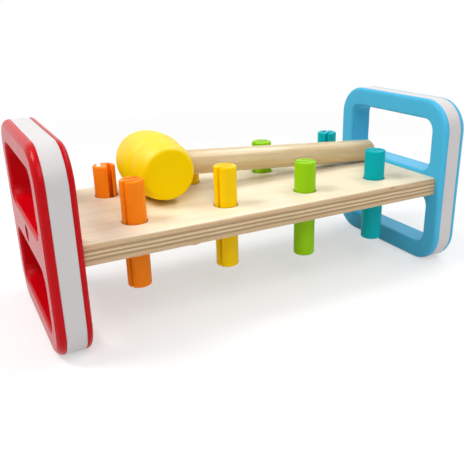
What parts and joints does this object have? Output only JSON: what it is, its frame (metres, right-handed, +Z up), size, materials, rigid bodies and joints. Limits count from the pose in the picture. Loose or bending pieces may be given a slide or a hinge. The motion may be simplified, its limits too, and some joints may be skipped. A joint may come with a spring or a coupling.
{
  "type": "peg pounding bench",
  "caption": "Toy pounding bench: a plywood board between two windowed plastic end frames, springy split pegs that slide through its holes, and a mallet-like hammer.",
  "frame": {"origin": "on the floor under the middle of the bench", "axes": "+X along the board from the red frame to the blue frame, -Y to the front, +Z up"},
  "size_m": [0.274, 0.112, 0.114],
  "materials": {
    "plywood": "clear-lacquered birch plywood, pale faces and striped edges",
    "handle_wood": "smooth clear-lacquered dowel with fine grain",
    "hammer_yellow": "satin moulded plastic",
    "orange_plastic": "satin moulded plastic",
    "yellow_plastic": "satin moulded plastic",
    "green_plastic": "satin moulded plastic",
    "teal_plastic": "satin moulded plastic",
    "red_plastic": "glossy moulded plastic",
    "blue_plastic": "glossy moulded plastic",
    "white_plastic": "glossy moulded plastic",
    "screw_steel": "zinc-plated steel"
  },
  "bodies": {
    "bench": {"bench_board": "plywood", "red_inner_shell": "red_plastic", "red_rim_band": "white_plastic", "red_outer_shell": "red_plastic", "red_frame_screw": "screw_steel", "blue_inner_shell": "blue_plastic", "blue_rim_band": "white_plastic", "blue_outer_shell": "blue_plastic", "blue_frame_screw": "screw_steel"},
    "orange_front_peg": {"peg_orange_front": "orange_plastic"},
    "yellow_front_peg": {"peg_yellow_front": "yellow_plastic"},
    "green_front_peg": {"peg_green_front": "green_plastic"},
    "teal_front_peg": {"peg_teal_front": "teal_plastic"},
    "orange_rear_peg": {"peg_orange_rear": "orange_plastic"},
    "yellow_rear_peg": {"peg_yellow_rear": "yellow_plastic"},
    "green_rear_peg": {"peg_green_rear": "green_plastic"},
    "teal_rear_peg": {"peg_teal_rear": "teal_plastic"},
    "hammer": {"hammer_head": "hammer_yellow", "hammer_handle": "handle_wood"}
  },
  "joints": [
    {"name": "orange_front_slide", "type": "slide", "parent": "bench", "child": "orange_front_peg", "axis": [0, 0, 1], "range_m": [-0.0238, 0.0262]},
    {"name": "yellow_front_slide", "type": "slide", "parent": "bench", "child": "yellow_front_peg", "axis": [0, 0, 1], "range_m": [-0.0239, 0.0261]},
    {"name": "green_front_slide", "type": "slide", "parent": "bench", "child": "green_front_peg", "axis": [0, 0, 1], "range_m": [-0.0193, 0.0307]},
    {"name": "teal_front_slide", "type": "slide", "parent": "bench", "child": "teal_front_peg", "axis": [0, 0, 1], "range_m": [-0.0195, 0.0305]},
    {"name": "orange_rear_slide", "type": "slide", "parent": "bench", "child": "orange_rear_peg", "axis": [0, 0, 1], "range_m": [-0.0194, 0.0306]},
    {"name": "yellow_rear_slide", "type": "slide", "parent": "bench", "child": "yellow_rear_peg", "axis": [0, 0, 1], "range_m": [-0.0185, 0.0315]},
    {"name": "green_rear_slide", "type": "slide", "parent": "bench", "child": "green_rear_peg", "axis": [0, 0, 1], "range_m": [-0.0214, 0.0286]},
    {"name": "teal_rear_slide", "type": "slide", "parent": "bench", "child": "teal_rear_peg", "axis": [0, 0, 1], "range_m": [-0.022, 0.028]},
    {"name": "hammer_lift", "type": "slide", "parent": "bench", "child": "hammer", "axis": [0, 0, 1], "range_m": [0, 0.08]}
  ]
}
